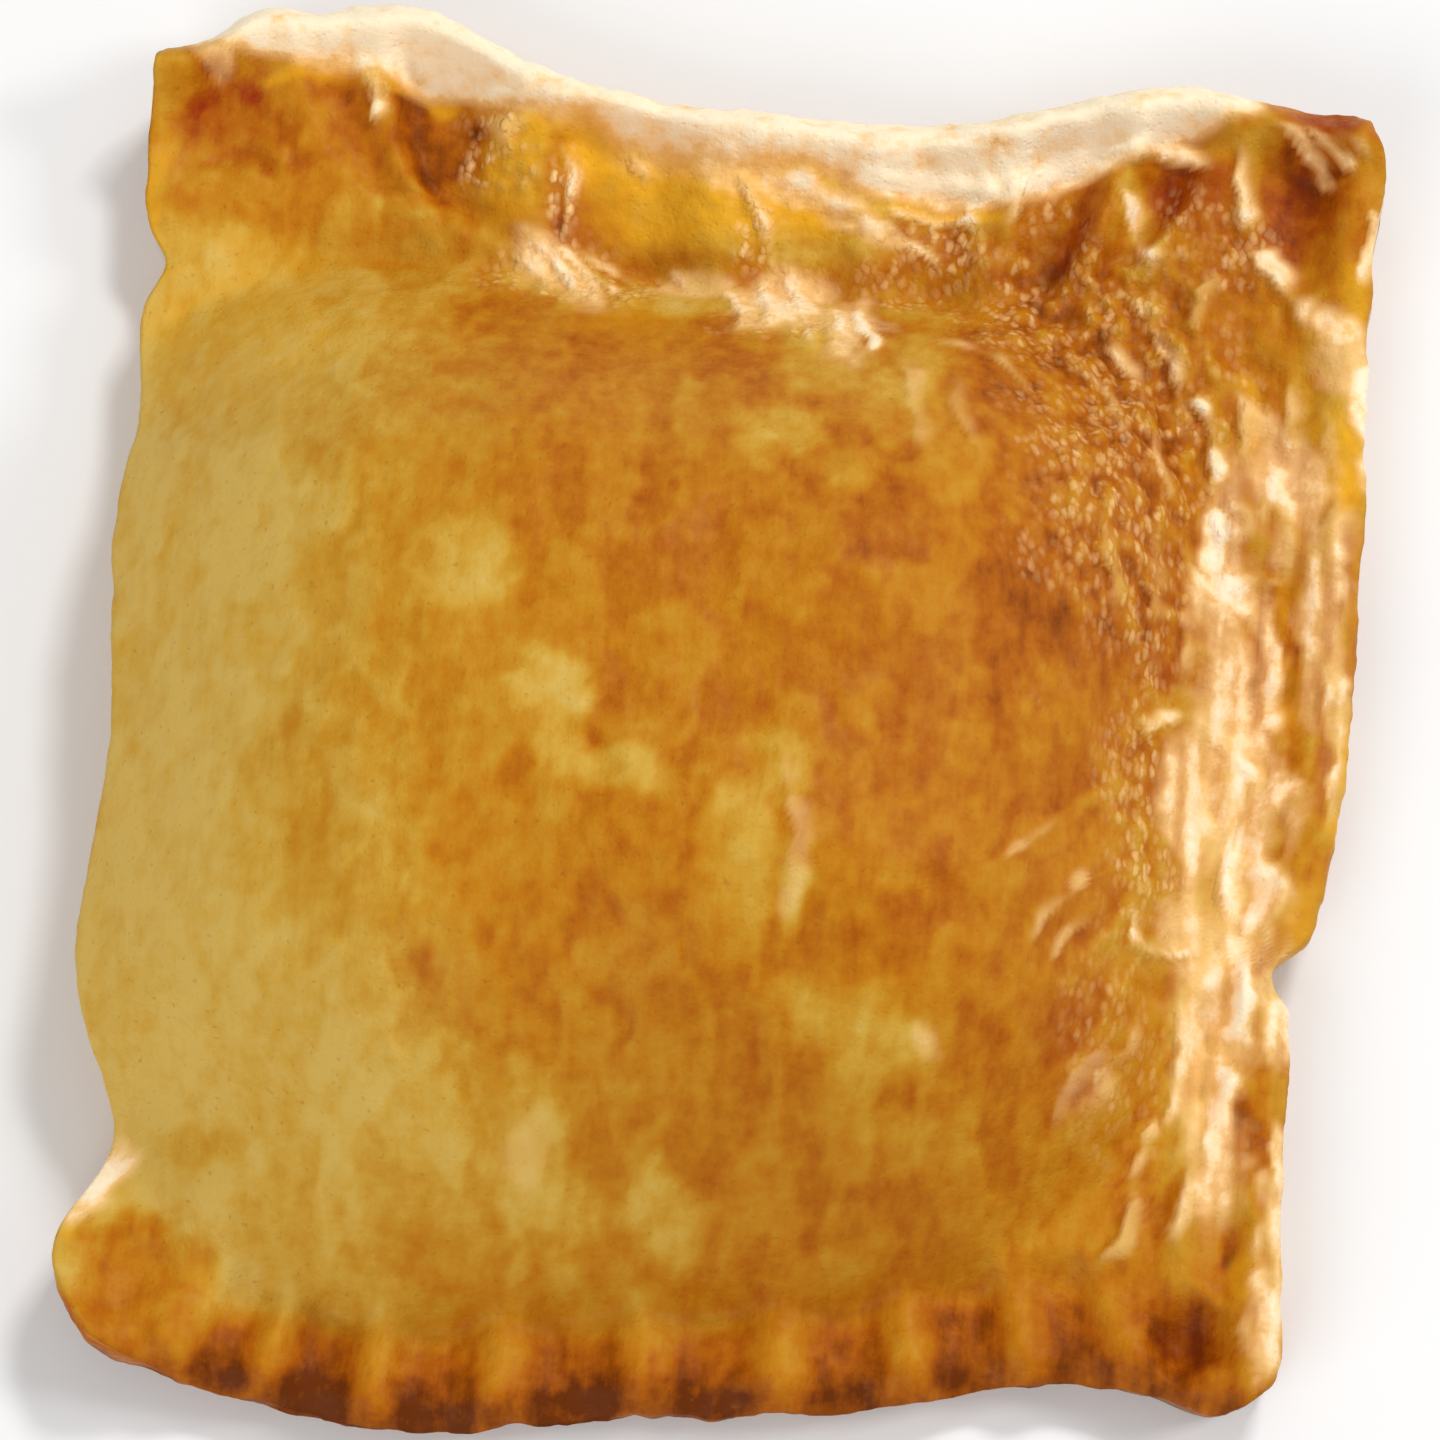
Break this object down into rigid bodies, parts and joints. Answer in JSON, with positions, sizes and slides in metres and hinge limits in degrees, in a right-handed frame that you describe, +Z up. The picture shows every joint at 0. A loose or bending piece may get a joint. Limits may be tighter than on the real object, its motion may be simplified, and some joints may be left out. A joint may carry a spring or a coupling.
{
  "type": "mini beef steak pie",
  "caption": "Small folded puff pastry pie with a domed golden crust, a smooth fold on one side and a fork-crimped rim on the others, lying on its flat base.",
  "frame": {"origin": "centre of the pie's bounding box in plan, on the surface it stands on", "axes": "+Z up, +Y towards the pie's back rim, +X towards the crimped right side, with the smooth fold on -X"},
  "size_m": [0.0654, 0.0764, 0.022],
  "materials": {
    "pastry": "baked puff pastry with an egg glaze, golden to orange-brown"
  },
  "bodies": {
    "root": {"pastry_crust": "pastry"}
  },
  "joints": []
}
